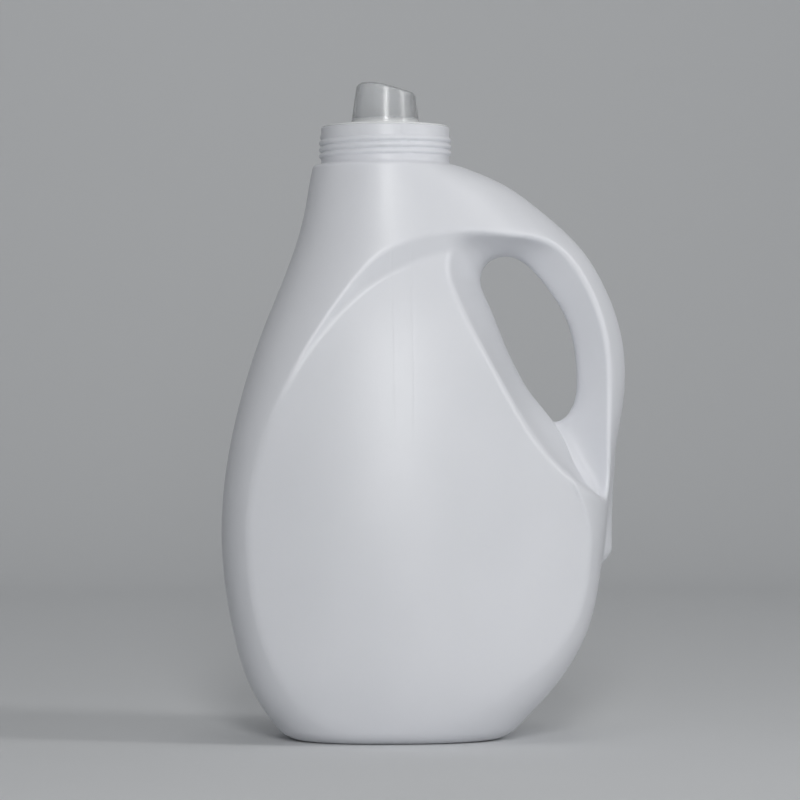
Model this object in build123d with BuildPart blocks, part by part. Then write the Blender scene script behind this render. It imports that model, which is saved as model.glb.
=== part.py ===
"""Laundry detergent bottle of two and a half litres, open, with its pour spout.

Millimetres, +Z up. The origin is on the neck's axis, at the level the base
stands on. X runs from the pour side (-X) to the handle (+X), and the mould
halves meet on the plane Y = 0.
"""

import math
import os
from collections import namedtuple

from build123d import *

# Bottle body
BODY_HEIGHT = 257.4  # standing plane to the foot of the neck
POUR_REACH = 73.1  # neck axis to the fullest part of the pour side
GRIP_REACH = 108.7  # neck axis to the outside of the handle
HALF_DEPTH = 54.0  # parting plane to the fullest part of either face
WALL = 1.4
HEEL_RADIUS = 5.0  # round between the base and the sides
PUSH_UP = 4.5  # height of the hollow under the base
STAND_RING = 8.0  # width of the ring that the bottle stands on

# Label recess
LABEL_RADIUS = 170.0  # bend of the label face across the bottle
LABEL_CENTRE = 12.0  # middle of the label face from the neck axis
LABEL_STEP_SLOPE = 1.3  # run of the step under the shoulder for each mm of its depth

# Finger hole, measured on the parting plane
HOLE_WIDTH = 43.9
HOLE_LENGTH = 74.5
HOLE_X = 64.8  # neck axis to the middle of the hole
HOLE_Z = 179.4  # standing plane to the middle of the hole
CREST_DEPTH = 14.0  # parting plane to the crest line of the handle
FLANK_DEPTH = 30.0  # parting plane to the level where the flank is drawn

# Lug at the handle's tail
LUG_X = 102.6  # neck axis to the lug's outside
LUG_Z = 86.0  # standing plane to the lug's fullest point
LUG_LENGTH = 36.0  # from its fullest point up to where it is lost in the grip
LUG_RADIUS = 6.2
LUG_LEAN = 0.04  # lean of its axis towards the neck for each mm of height

# Neck finish
NECK_HEIGHT = 16.9  # foot of the neck to its rim
NECK_RADIUS = 28.8  # root of the thread
NECK_WALL = 1.8
SHOULDER_LEDGE = 3.6  # shoulder standing out past the neck
LEDGE_ROUND = 1.6
NECK_FLARE = 1.5  # hollow round where the neck meets the shoulder
RIM_ROUND = 0.5

# Pour spout
PLUG_CLEARANCE = 0.05  # spout's plug inside the neck, each side
PLUG_DEPTH = 12.0
PLUG_WALL = 1.2
FLANGE_THICK = 0.8
FLANGE_INSET = 0.6  # flange edge back from the neck's outside
SPOUT_FOOT_RADIUS = 15.6  # outside of the tube at the level of the flange
SPOUT_TOP_RADIUS = 12.8  # outside of the tube at its lip
SPOUT_HEIGHT = 19.8  # neck rim to the lip on the pour side
SPOUT_DROP = 4.4  # how far the lip falls towards the handle
SPOUT_WALL = 1.1
TROUGH_FALL = 1.5  # fall of the trough floor from the plug to the tube
DRAIN_WIDTH = 6.0
DRAIN_HEIGHT = 8.0
DRAIN_SILL = 0.6  # bottom of the drain above the tube's foot

SHOULDER_RADIUS = NECK_RADIUS + SHOULDER_LEDGE
NECK_BORE = NECK_RADIUS - NECK_WALL
RIM_LEVEL = BODY_HEIGHT + NECK_HEIGHT

OUTLINE_POINTS = 24  # points that carry each horizontal outline of the body

# One horizontal section of the body. Level, reaches and depth are shares of
# the sizes above; crown is the share of the label centre where the face is
# fullest, and the last three bend the outline from an ellipse (2) to a box.
Station = namedtuple("Station", "level pour grip depth crown pour_bend grip_bend grip_edge")

BODY_STATIONS = (
    Station(0.000, 0.609, 0.501, 0.648, 0.42, 2.40, 2.40, 2.40),
    Station(0.042, 0.726, 0.593, 0.778, 0.50, 2.60, 2.60, 2.60),
    Station(0.094, 0.832, 0.701, 0.880, 0.67, 2.75, 2.75, 2.70),
    Station(0.178, 0.925, 0.820, 0.954, 0.83, 2.90, 3.00, 2.90),
    Station(0.294, 0.992, 0.886, 0.996, 0.96, 2.90, 3.10, 2.90),
    Station(0.399, 1.000, 0.920, 1.000, 1.00, 2.90, 2.85, 2.50),
    Station(0.505, 0.955, 0.960, 0.985, 0.96, 2.80, 2.35, 1.75),
    Station(0.614, 0.865, 1.000, 0.944, 0.83, 2.60, 2.00, 1.38),
    Station(0.713, 0.750, 0.981, 0.870, 0.67, 2.40, 2.00, 1.35),
    Station(0.800, 0.627, 0.902, 0.780, 0.42, 2.20, 2.00, 1.35),
    Station(0.870, 0.539, 0.786, 0.700, 0.25, 2.10, 2.00, 1.42),
    Station(0.932, 0.487, 0.616, 0.642, 0.12, 2.05, 2.00, 1.55),
    Station(0.9755, 0.461, 0.451, 0.614, 0.04, 2.00, 2.00, 1.75),
)

# Round shoulder that the neck stands on, in the same shares.
SHOULDER = Station(
    1.0, SHOULDER_RADIUS / POUR_REACH, SHOULDER_RADIUS / GRIP_REACH, SHOULDER_RADIUS / HALF_DEPTH, 0, 2, 2, 2
)

# Depth of the label face at its middle, by level, both as shares.
LABEL_STATIONS = (
    (-0.050, 0.560),
    (0.020, 0.735),
    (0.094, 0.866),
    (0.178, 0.930),
    (0.294, 0.968),
    (0.399, 0.974),
    (0.505, 0.950),
    (0.614, 0.889),
    (0.713, 0.800),
    (0.800, 0.678),
    (0.870, 0.560),
)

# Foot of the step under the shoulder, from past its tip on the pour side to
# the finger hole: x as a share of the grip reach, level as a share of height.
STEP_LINE = (
    (-0.680, 0.420),
    (-0.454, 0.594),
    (-0.341, 0.673),
    (-0.217, 0.738),
    (-0.060, 0.795),
    (0.100, 0.828),
    (0.243, 0.847),
    (0.460, 0.859),
)

# Edge of the label recess towards the grip, from inside the finger recess down,
# in halves of the hole's width and length from the middle of the hole.
GRIP_EDGE = (
    (-0.60, 0.50),
    (-0.15, -0.20),
    (0.30, -0.95),
    (0.45, -1.40),
    (0.63, -1.66),
    (0.90, -1.98),
    (1.10, -2.34),
    (1.15, -2.70),
)

# Outline of the finger recess, from its top leftwards: where each point lies
# on the parting plane, at the crest line's depth and at the flank's depth, in
# halves of the hole's width and length from the middle of the hole.
RECESS_OUTLINE = (
    ((-0.45, 1.00), (-0.50, 1.10), (-0.62, 1.25)),
    ((-0.87, 0.90), (-1.10, 0.96), (-1.66, 1.05)),
    ((-1.00, 0.70), (-1.18, 0.74), (-1.67, 0.83)),
    ((-0.87, 0.47), (-1.02, 0.47), (-1.42, 0.47)),
    ((-0.50, -0.06), (-0.63, -0.06), (-0.95, -0.06)),
    ((-0.02, -0.61), (-0.10, -0.64), (-0.38, -0.66)),
    ((0.26, -0.88), (0.66, -1.22), (0.30, -1.24)),
    ((0.42, -0.98), (1.08, -1.68), (0.92, -1.72)),
    ((0.62, -0.99), (1.27, -1.74), (1.40, -1.86)),
    ((0.88, -0.85), (1.47, -1.35), (1.85, -1.40)),
    ((1.00, -0.42), (1.60, -0.46), (2.15, -0.46)),
    ((0.80, 0.22), (1.48, 0.30), (2.05, 0.40)),
    ((0.30, 0.69), (0.84, 0.96), (1.40, 1.20)),
)


def bent(share, bend):
    """Coordinate of a superellipse: its sign kept, its size to the power 2/bend."""
    return math.copysign(abs(share) ** (2 / bend), share)


def smooth_loop(points, shares):
    """Closed spline through points; the outlines of one loft share the parameters it runs on."""
    return Edge.make_spline([Vector(x, y) for x, y in points], periodic=True, parameters=shares)


def travel_shares(outlines):
    """How far round the outlines, on average, each of their points lies, from 0 to 1."""
    lengths = [[math.dist(a, b) for a, b in zip(line, line[1:] + line[:1])] for line in outlines]
    steps = [sum(column) for column in zip(*lengths)]
    return [sum(steps[:place]) / sum(steps) for place in range(len(steps) + 1)]


def body_outline(station, inset):
    """Closed outline of the body at a station, drawn in by the wall."""
    crown = station.crown * LABEL_CENTRE
    points = []
    for step in range(OUTLINE_POINTS):
        turn = 2 * math.pi * step / OUTLINE_POINTS
        if math.cos(turn) >= 0:
            reach = station.grip * GRIP_REACH - crown - inset
            bend, edge = station.grip_bend, station.grip_edge
        else:
            reach = station.pour * POUR_REACH + crown - inset
            bend, edge = station.pour_bend, station.pour_bend
        depth = station.depth * HALF_DEPTH - inset
        points.append((crown + reach * bent(math.cos(turn), bend), depth * bent(math.sin(turn), edge)))
    return points


def body_envelope(inset):
    """Body and handle as one full form, before anything is sunk into it."""
    outlines = [body_outline(station, inset) for station in BODY_STATIONS + (SHOULDER,)]
    levels = [station.level * BODY_HEIGHT for station in BODY_STATIONS] + [BODY_HEIGHT - inset]
    levels[0] = inset
    shares = travel_shares(outlines)
    with BuildPart() as envelope:
        for level, outline in zip(levels, outlines):
            with BuildSketch(Plane.XY.offset(level)):
                with BuildLine():
                    add(smooth_loop(outline, shares))
                make_face()
        loft()
        heel = envelope.faces().sort_by(Axis.Z)[0].edges()
        fillet(heel, HEEL_RADIUS - inset)
    return envelope.part


def pulled_out(points, distance):
    """Closed outline with each point moved out square to its neighbours."""
    moved = []
    for place, (x, z) in enumerate(points):
        before, after = points[place - 1], points[(place + 1) % len(points)]
        run, rise = after[0] - before[0], after[1] - before[1]
        length = math.hypot(run, rise)
        moved.append((x + distance * rise / length, z - distance * run / length))
    return moved


def finger_recess(inset):
    """Dished hole for the fingers, through both faces, grown by the wall."""
    hole, crest, flank = (
        [
            (HOLE_X + row[plane][0] * HOLE_WIDTH / 2, HOLE_Z + row[plane][1] * HOLE_LENGTH / 2)
            for row in RECESS_OUTLINE
        ]
        for plane in range(3)
    )
    mouth = [(2 * f[0] - c[0], 2 * f[1] - c[1]) for c, f in zip(crest, flank)]
    mouth_depth = 2 * FLANK_DEPTH - CREST_DEPTH
    half = ((0, hole), (CREST_DEPTH, crest), (FLANK_DEPTH, flank), (mouth_depth, mouth))
    sections = [(-depth, outline) for depth, outline in reversed(half)]
    sections += [(depth, outline) for depth, outline in half[1:]]
    with BuildPart() as recess:
        for y, outline in sections:
            with BuildSketch(Plane.XZ.offset(-y)):
                with BuildLine():
                    Spline(*pulled_out(outline, inset), periodic=True)
                make_face()
        loft()
    return recess.part


def label_core(inset):
    """Block whose front and back are the label faces, bent across the bottle."""
    half_width = (POUR_REACH + GRIP_REACH) / 2 - inset
    sag = half_width**2 / (2 * LABEL_RADIUS)
    sides = (LABEL_CENTRE - half_width, LABEL_CENTRE + half_width)
    with BuildPart() as core:
        for level, share in LABEL_STATIONS:
            depth = share * HALF_DEPTH - inset
            with BuildSketch(Plane.XY.offset(level * BODY_HEIGHT)):
                with BuildLine():
                    front = ThreePointArc(
                        (sides[0], sag - depth), (LABEL_CENTRE, -depth), (sides[1], sag - depth)
                    )
                    back = ThreePointArc(
                        (sides[1], depth - sag), (LABEL_CENTRE, depth), (sides[0], depth - sag)
                    )
                    Line(front @ 1, back @ 0)
                    Line(back @ 1, front @ 0)
                make_face()
        loft()
    return core.part


def label_depth(x, level):
    """Depth of the label face at a point of the parting plane."""
    share = level / BODY_HEIGHT
    for (low, shallow), (high, deep) in zip(LABEL_STATIONS, LABEL_STATIONS[1:]):
        if share <= high:
            break
    middle = shallow + (deep - shallow) * (share - low) / (high - low)
    return middle * HALF_DEPTH - (x - LABEL_CENTRE) ** 2 / (2 * LABEL_RADIUS)


def step_line(plane_depth, inset):
    """Foot of the step under the shoulder, moved along its slope to a depth."""
    foot = [(x * GRIP_REACH, z * BODY_HEIGHT) for x, z in STEP_LINE]
    widened = inset * math.hypot(1, LABEL_STEP_SLOPE)
    points = []
    for place, (x, z) in enumerate(foot):
        before, after = foot[max(place - 1, 0)], foot[min(place + 1, len(foot) - 1)]
        run, rise = after[0] - before[0], after[1] - before[1]
        length = math.hypot(run, rise)
        out = widened + LABEL_STEP_SLOPE * (plane_depth - label_depth(x, z))
        points.append((x - out * rise / length, z + out * run / length))
    return points


def label_recesses(inset):
    """Spaces sunk into both faces for the labels: blocks with a sloped top, less the core."""
    shallow, deep = 0.4 * HALF_DEPTH, 1.1 * HALF_DEPTH
    grip_edge = [
        (HOLE_X + x * HOLE_WIDTH / 2 + inset, HOLE_Z + z * HOLE_LENGTH / 2) for x, z in GRIP_EDGE
    ]
    below = -0.04 * BODY_HEIGHT
    with BuildPart() as recesses:
        for side in (-1, 1):
            for depth in (shallow, deep):
                with BuildSketch(Plane.XZ.offset(-side * depth)):
                    with BuildLine():
                        top = Spline(*step_line(depth, inset))
                        Polyline(
                            top @ 1, *grip_edge, (grip_edge[-1][0], below), ((top @ 0).X, below), top @ 0
                        )
                    make_face()
            loft(ruled=True)
        add(label_core(inset), mode=Mode.SUBTRACT)
    return recesses.part


def tail_lug(inset):
    """Blunt end of the handle: a round bar that runs down the grip and ends in a ball."""
    tip = Plane(origin=(LUG_X - LUG_RADIUS, 0, LUG_Z), z_dir=(-LUG_LEAN, 0, 1))
    with BuildPart() as lug:
        with BuildSketch(tip):
            Circle(LUG_RADIUS - inset)
        extrude(amount=LUG_LENGTH)
        with Locations(tip.origin):
            Sphere(LUG_RADIUS - inset)
    return lug.part


def moulded_form(inset):
    """The whole moulded bottle below its neck, as one full form drawn in by the wall."""
    with BuildPart() as form:
        add(body_envelope(inset))
        add([label_recesses(inset), finger_recess(inset)], mode=Mode.SUBTRACT)
        add(tail_lug(inset))
    return form.part


def base_hollow(inset):
    """Hollow pushed up under the base, inside the ring that the bottle stands on."""
    base = BODY_STATIONS[0]
    ring = STAND_RING - inset
    with BuildPart() as hollow:
        for level, drawn_in in ((-WALL, ring), (PUSH_UP + inset, ring + 2 * PUSH_UP)):
            with BuildSketch(Plane.XY.offset(level)):
                with BuildLine():
                    Spline(*body_outline(base, drawn_in), periodic=True)
                make_face()
        loft(ruled=True)
    return hollow.part


with BuildPart() as cavity:
    add(moulded_form(WALL))
    add(base_hollow(WALL), mode=Mode.SUBTRACT)
    with BuildSketch(Plane.XY.offset(BODY_HEIGHT - 2 * WALL)):
        Circle(NECK_BORE)
    extrude(amount=NECK_HEIGHT + 3 * WALL)

with BuildPart() as bottle:
    add(moulded_form(0))
    ledge = bottle.faces().sort_by(Axis.Z)[-1].edges()
    fillet(ledge, LEDGE_ROUND)
    with BuildSketch(Plane.XY.offset(BODY_HEIGHT - WALL)):
        Circle(NECK_RADIUS)
    extrude(amount=NECK_HEIGHT + WALL)
    rim = bottle.faces().sort_by(Axis.Z)[-1].edges()
    fillet(rim, RIM_ROUND)
    at_ledge = bottle.edges().filter_by_position(Axis.Z, BODY_HEIGHT - 0.01, BODY_HEIGHT + 0.01)
    fillet(at_ledge.filter_by(GeomType.CIRCLE).sort_by(SortBy.RADIUS)[0], NECK_FLARE)
    add(cavity.part, mode=Mode.SUBTRACT)
    add(base_hollow(0), mode=Mode.SUBTRACT)
bottle.part.label = "bottle"

with BuildPart() as pour_spout:
    plug_radius = NECK_BORE - PLUG_CLEARANCE
    plug_bore = plug_radius - PLUG_WALL
    taper = (SPOUT_FOOT_RADIUS - SPOUT_TOP_RADIUS) / SPOUT_HEIGHT
    trough = -PLUG_DEPTH
    foot = trough - TROUGH_FALL
    foot_radius = SPOUT_FOOT_RADIUS - taper * foot
    front = Plane(origin=(0, 0, RIM_LEVEL), x_dir=(0, -1, 0), z_dir=(-1, 0, 0))
    with BuildSketch(front):
        with BuildLine():
            Polyline(
                (SPOUT_TOP_RADIUS, SPOUT_HEIGHT),
                (foot_radius, foot),
                (plug_bore, trough),
                (plug_bore, 0),
                (plug_bore + FLANGE_THICK / 2, FLANGE_THICK),
                (NECK_RADIUS - FLANGE_INSET, FLANGE_THICK),
                (NECK_RADIUS - FLANGE_INSET, 0),
                (plug_radius, 0),
                (plug_radius, trough - FLANGE_THICK),
                (foot_radius - SPOUT_WALL, foot - FLANGE_THICK),
                (SPOUT_TOP_RADIUS - SPOUT_WALL, SPOUT_HEIGHT),
                close=True,
            )
        make_face()
    revolve(axis=Axis.Z)
    with BuildSketch(Plane(origin=(0, 0, RIM_LEVEL), x_dir=(1, 0, 0), z_dir=(0, -1, 0))):
        with BuildLine():
            lip = Spline(
                (-0.6 * SPOUT_TOP_RADIUS, SPOUT_HEIGHT),
                (0.2 * SPOUT_TOP_RADIUS, SPOUT_HEIGHT - SPOUT_DROP / 2),
                (SPOUT_TOP_RADIUS, SPOUT_HEIGHT - SPOUT_DROP),
                tangents=((1, -0.1), (1, -0.1)),
            )
            Polyline(
                lip @ 1,
                (SPOUT_FOOT_RADIUS, SPOUT_HEIGHT - SPOUT_DROP),
                (SPOUT_FOOT_RADIUS, SPOUT_HEIGHT + SPOUT_DROP),
                (-SPOUT_FOOT_RADIUS, SPOUT_HEIGHT + SPOUT_DROP),
                (-SPOUT_FOOT_RADIUS, SPOUT_HEIGHT),
                lip @ 0,
            )
        make_face()
    extrude(amount=SPOUT_FOOT_RADIUS, both=True, mode=Mode.SUBTRACT)
    with BuildSketch(Plane.YZ.offset(foot_radius - 3 * SPOUT_WALL)):
        with Locations((0, RIM_LEVEL + foot + DRAIN_SILL + DRAIN_HEIGHT / 2)):
            SlotOverall(DRAIN_HEIGHT, DRAIN_WIDTH, rotation=90)
    extrude(amount=6 * SPOUT_WALL, mode=Mode.SUBTRACT)
pour_spout.part.label = "pour_spout"

os.makedirs("parts", exist_ok=True)
export_step(bottle.part, "parts/bottle.step")
export_step(pour_spout.part, "parts/pour_spout.step")
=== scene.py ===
"""Natural white detergent bottle: hollow grip, sunk label faces, threaded neck and see-through spout."""

from __future__ import annotations

import logging
import math
from dataclasses import astuple, dataclass, field
from enum import Enum

import bmesh
import bpy
import numpy as np
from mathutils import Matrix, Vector

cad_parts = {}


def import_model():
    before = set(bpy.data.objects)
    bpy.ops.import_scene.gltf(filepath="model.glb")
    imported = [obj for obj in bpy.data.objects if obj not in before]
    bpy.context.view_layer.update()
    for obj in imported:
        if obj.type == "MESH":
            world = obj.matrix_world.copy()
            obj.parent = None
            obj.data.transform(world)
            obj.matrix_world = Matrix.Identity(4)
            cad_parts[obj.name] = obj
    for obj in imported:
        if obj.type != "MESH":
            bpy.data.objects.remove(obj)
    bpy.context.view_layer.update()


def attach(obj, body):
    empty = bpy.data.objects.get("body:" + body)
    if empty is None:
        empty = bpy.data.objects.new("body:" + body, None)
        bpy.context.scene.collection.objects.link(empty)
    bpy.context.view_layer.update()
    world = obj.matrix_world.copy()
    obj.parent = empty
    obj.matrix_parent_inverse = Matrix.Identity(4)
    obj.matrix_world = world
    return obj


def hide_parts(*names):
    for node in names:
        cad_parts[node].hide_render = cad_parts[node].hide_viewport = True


LOG = logging.getLogger("bottle")
MM = 0.001
CENTRE = (0.00666, 0.0, 0.152)


class Wall(Enum):
    """The two faces of the moulded shell."""

    OUTSIDE = "outside"
    INSIDE = "inside"


def smooth_curve(knots: np.ndarray, values: np.ndarray, at: np.ndarray) -> np.ndarray:
    """Natural cubic through the knots, with straight ends beyond them.

    The second derivatives solve the usual three-term system, one row for each inner knot.

    Args:
        knots: increasing positions.
        values: one value, or one row of values, at each knot.
        at: positions to read the curve at.

    Returns:
        The curve's values, one row for each position.
    """
    knots = np.asarray(knots, float)
    values = np.asarray(values, float).reshape(len(knots), -1)
    step = np.diff(knots)
    rise = np.diff(values, axis=0) / step[:, None]
    system = np.eye(len(knots))
    inner = np.arange(1, len(knots) - 1)
    system[inner, inner - 1] = step[:-1]
    system[inner, inner] = 2 * (step[:-1] + step[1:])
    system[inner, inner + 1] = step[1:]
    right = np.zeros_like(values)
    right[1:-1] = 6 * np.diff(rise, axis=0)
    bend = np.linalg.solve(system, right)
    inside = np.clip(at, knots[0], knots[-1])
    span = np.clip(np.searchsorted(knots, inside) - 1, 0, len(knots) - 2)
    low, high = (inside - knots[span])[:, None], (knots[span + 1] - inside)[:, None]
    width = step[span][:, None]
    result = (bend[span] * high**3 + bend[span + 1] * low**3) / (6 * width)
    result += (values[span] / width - bend[span] * width / 6) * high
    result += (values[span + 1] / width - bend[span + 1] * width / 6) * low
    ends = np.stack([rise[0] - step[0] * bend[1] / 6, rise[-1] + step[-1] * bend[-2] / 6])
    beyond = (at - inside)[:, None]
    return result + np.where(beyond < 0, ends[0] * beyond, ends[1] * beyond)


def closed_curve(points: np.ndarray, count: int) -> np.ndarray:
    """Closed smooth curve through points, spaced by the distances between them.

    The points are repeated once on each side and a cubic is passed through all of them, of which
    the middle round is kept.

    Args:
        points: the corner points, one row each.
        count: how many points to return.

    Returns:
        Points evenly spaced in the curve's own parameter.
    """
    thrice = np.vstack([points, points, points, points[:1]])
    travel = np.concatenate([[0], np.cumsum(np.linalg.norm(np.diff(thrice, axis=0), axis=1))])
    start, end = travel[len(points)], travel[2 * len(points)]
    return smooth_curve(travel, thrice, np.linspace(start, end, count, endpoint=False))


def rounded_max(first: np.ndarray, second: np.ndarray, reach: float) -> np.ndarray:
    """Larger of two distances, with the edge between them rounded over a reach."""
    near = np.maximum(reach - np.abs(first - second), 0)
    return np.maximum(first, second) + near * near / (4 * reach)


def rounded_min(first: np.ndarray, second: np.ndarray, reach: float) -> np.ndarray:
    """Smaller of two distances, with the hollow between them filled over a reach."""
    return -rounded_max(-first, -second, reach)


def eased(share: np.ndarray) -> np.ndarray:
    """Zero to one with level ends: three squares less two cubes."""
    share = np.clip(share, 0, 1)
    return share * share * (3 - 2 * share)


@dataclass
class Surface:
    """Points, faces of three or four corners, and normals, in millimetres."""

    points: np.ndarray
    faces: np.ndarray
    normals: np.ndarray

    def turned(self) -> Surface:
        """The same surface facing the other way."""
        return Surface(self.points, self.faces[:, ::-1], -self.normals)


def corner_triangles(faces: np.ndarray) -> np.ndarray:
    """Quads cut into two triangles each."""
    return np.vstack([faces[:, [0, 1, 2]], faces[:, [0, 2, 3]]])


def ring_quads(rows: int, cols: int, closed: bool) -> np.ndarray:
    """Quads between rings of points, by row and place; the last row joins the first if closed."""
    i, j = np.meshgrid(np.arange(rows if closed else rows - 1), np.arange(cols), indexing="ij")
    k, n = (j + 1) % cols, (i + 1) % rows
    return np.stack([i * cols + j, i * cols + k, n * cols + k, n * cols + j], axis=2)


def point_normals(points: np.ndarray, triangles: np.ndarray) -> np.ndarray:
    """Normal at each point: the sum of its triangles' cross products, made unit length."""
    a, b, c = (points[triangles[:, k]] for k in range(3))
    cross = np.cross(b - a, c - a)
    total = np.zeros_like(points)
    for k in range(3):
        np.add.at(total, triangles[:, k], cross)
    return total / np.maximum(np.linalg.norm(total, axis=1, keepdims=True), 1e-12)


def build_object(name: str, surface: Surface, material: bpy.types.Material) -> bpy.types.Object:
    """Puts a surface into a new smooth mesh object at the origin.

    Args:
        name: the object's name.
        surface: points in millimetres, triangles and normals.
        material: its finish.

    Returns:
        The new object, linked to the scene.
    """
    mesh = bpy.data.meshes.new(name)
    count, corners = surface.faces.shape
    mesh.vertices.add(len(surface.points))
    mesh.vertices.foreach_set("co", (surface.points * MM).ravel())
    mesh.loops.add(count * corners)
    mesh.loops.foreach_set("vertex_index", surface.faces.ravel().astype(np.int32))
    mesh.polygons.add(count)
    mesh.polygons.foreach_set("loop_start", np.arange(0, count * corners, corners, dtype=np.int32))
    mesh.polygons.foreach_set("use_smooth", np.ones(count, bool))
    mesh.update(calc_edges=True)
    mesh.validate()
    mesh.normals_split_custom_set_from_vertices(surface.normals.tolist())
    mesh.materials.append(material)
    obj = bpy.data.objects.new(name, mesh)
    bpy.context.collection.objects.link(obj)
    return obj


def net_surface(values: np.ndarray, low: np.ndarray, cell: float) -> tuple[np.ndarray, np.ndarray]:
    """Quads over the zero level of a box of distances.

    Each cell that the level crosses gets one point, the mean of the crossings on its twelve edges,
    and each crossed edge of the box gets one quad between the four cells round it.

    Args:
        values: distances at the corners of the cells, negative inside.
        low: the box's lowest corner.
        cell: the cells' size.

    Returns:
        Points and quads that face outwards.
    """
    size = np.array(values.shape) - 1
    corner = [(i, j, k) for i in (0, 1) for j in (0, 1) for k in (0, 1)]
    views = {c: values[c[0] : size[0] + c[0], c[1] : size[1] + c[1], c[2] : size[2] + c[2]] for c in corner}
    count = sum((views[c] < 0).astype(np.int8) for c in corner)
    mixed = np.nonzero((count > 0) & (count < 8))
    number = np.full(size, -1, np.int64)
    number[mixed] = np.arange(len(mixed[0]))
    total = np.zeros((len(mixed[0]), 3))
    hits = np.zeros(len(mixed[0]))
    for start in corner:
        for axis in range(3):
            if start[axis]:
                continue
            end = tuple(1 if k == axis else start[k] for k in range(3))
            first, second = views[start][mixed], views[end][mixed]
            crossed = (first < 0) != (second < 0)
            share = np.where(crossed, first / np.where(crossed, first - second, 1), 0)
            place = np.tile(np.array(start, float), (len(share), 1))
            place[:, axis] = share
            total += place * crossed[:, None]
            hits += crossed
    points = low + (np.stack(mixed, axis=1) + total / hits[:, None]) * cell
    quads = []
    for axis in range(3):
        one, two = (axis + 1) % 3, (axis + 2) % 3
        near = [slice(1, -1)] * 3
        near[axis] = slice(0, -1)
        far = list(near)
        far[axis] = slice(1, None)
        first, second = values[tuple(near)] < 0, values[tuple(far)] < 0
        edges = np.stack(np.nonzero(first != second), axis=1)
        leaving = first[tuple(edges.T)]
        edges[:, [one, two]] += 1
        ring = []
        for back_one, back_two in ((0, 0), (1, 0), (1, 1), (0, 1)):
            cells = edges.copy()
            cells[:, one] -= back_one
            cells[:, two] -= back_two
            ring.append(number[tuple(cells.T)])
        ring = np.stack(ring, axis=1)
        quads.append(np.where(leaving[:, None], ring, ring[:, ::-1]))
    return points, np.vstack(quads)


def zipped(
    first: np.ndarray, first_turn: np.ndarray, second: np.ndarray, second_turn: np.ndarray
) -> np.ndarray:
    """Triangles between two loops round the same axis, whatever their counts.

    Each edge of one loop is closed with the last point of the other loop that it has passed.

    Args:
        first, second: point numbers of the lower and the upper loop.
        first_turn, second_turn: their angles about the axis.

    Returns:
        Triangles that face away from the axis.
    """
    order, other = np.argsort(first_turn), np.argsort(second_turn)
    first, first_turn = first[order], first_turn[order]
    second, second_turn = second[other], second_turn[other]
    after, after_turn = np.roll(first, -1), np.append(first_turn[1:], first_turn[0] + math.tau)
    passed = second[np.searchsorted(second_turn, after_turn, side="right") - 1]
    lower = np.stack([first, after, passed], axis=1)
    after, after_turn = np.roll(second, -1), np.append(second_turn[1:], second_turn[0] + math.tau)
    passed = first[np.searchsorted(first_turn, after_turn, side="left") - 1]
    upper = np.stack([second, passed, after], axis=1)
    return np.vstack([lower, upper])


@dataclass(frozen=True)
class Station:
    """One horizontal section of the body: shares of the body's sizes, and how boxy its outline is."""

    level: float
    pour: float
    grip: float
    depth: float
    crown: float
    pour_bend: float
    grip_bend: float
    grip_edge: float


BODY_STATIONS = (
    Station(0.000, 0.609, 0.501, 0.648, 0.42, 2.40, 2.40, 2.40),
    Station(0.042, 0.726, 0.593, 0.778, 0.50, 2.60, 2.60, 2.60),
    Station(0.094, 0.832, 0.701, 0.880, 0.67, 2.75, 2.75, 2.70),
    Station(0.178, 0.925, 0.820, 0.954, 0.83, 2.90, 3.00, 2.90),
    Station(0.294, 0.992, 0.886, 0.996, 0.96, 2.90, 3.10, 2.90),
    Station(0.399, 1.000, 0.920, 1.000, 1.00, 2.90, 2.85, 2.50),
    Station(0.505, 0.955, 0.960, 0.985, 0.96, 2.80, 2.35, 1.75),
    Station(0.614, 0.865, 1.000, 0.944, 0.83, 2.60, 2.00, 1.38),
    Station(0.713, 0.750, 0.981, 0.870, 0.67, 2.40, 2.00, 1.35),
    Station(0.800, 0.627, 0.902, 0.780, 0.42, 2.20, 2.00, 1.35),
    Station(0.870, 0.539, 0.786, 0.700, 0.25, 2.10, 2.00, 1.42),
    Station(0.932, 0.487, 0.616, 0.642, 0.12, 2.05, 2.00, 1.55),
    Station(0.9755, 0.461, 0.451, 0.614, 0.04, 2.00, 2.00, 1.75),
)

# Depth of the label face at its middle, by level, both as shares of the body's sizes.
LABEL_STATIONS = (
    (-0.050, 0.560),
    (0.020, 0.735),
    (0.094, 0.866),
    (0.178, 0.930),
    (0.294, 0.968),
    (0.399, 0.974),
    (0.505, 0.950),
    (0.614, 0.889),
    (0.713, 0.800),
    (0.800, 0.678),
    (0.870, 0.560),
)

# Foot of the step under the shoulder, as shares of the grip reach and the height.
STEP_LINE = (
    (-0.680, 0.420),
    (-0.454, 0.594),
    (-0.341, 0.673),
    (-0.217, 0.738),
    (-0.060, 0.795),
    (0.100, 0.828),
    (0.243, 0.847),
    (0.460, 0.859),
)

# Where the label face ends towards the grip: x, then level, in halves of the finger hole.
LABEL_EDGE = (
    (-0.60, 0.50),
    (-0.15, -0.20),
    (0.30, -0.95),
    (0.45, -1.40),
    (0.63, -1.66),
    (0.90, -1.98),
    (1.10, -2.34),
    (1.15, -2.70),
)

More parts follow.
